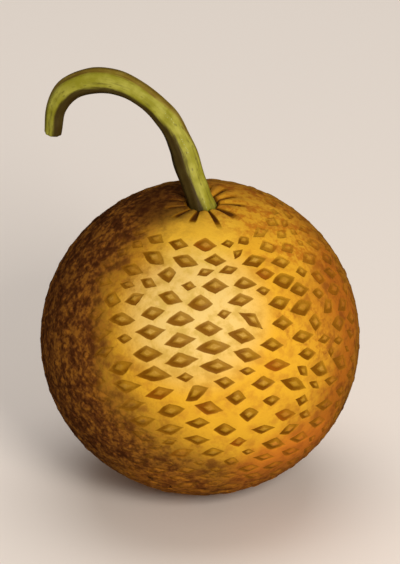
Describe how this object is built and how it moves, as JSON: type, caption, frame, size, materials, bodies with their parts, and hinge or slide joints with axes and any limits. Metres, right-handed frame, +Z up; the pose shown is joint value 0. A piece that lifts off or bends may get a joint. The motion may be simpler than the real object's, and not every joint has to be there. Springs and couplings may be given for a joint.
{
  "type": "breadfruit",
  "caption": "Whole round golden breadfruit with raised diamond scales, as picked, resting upright on its flat spot with its bent green stalk on top.",
  "frame": {"origin": "centre of the flat spot that the fruit rests on", "axes": "+Z up through the fruit to the crown where the stalk grows, -X the side the stalk arches over, -Y the front"},
  "size_m": [0.15, 0.15, 0.2028],
  "materials": {
    "fruit_skin": "satin golden-orange rind with brown-edged diamond scales",
    "stalk_green": "matt olive-green fibrous stalk with a paler cut end"
  },
  "bodies": {
    "root": {"fruit": "fruit_skin", "stalk": "stalk_green"}
  },
  "joints": []
}
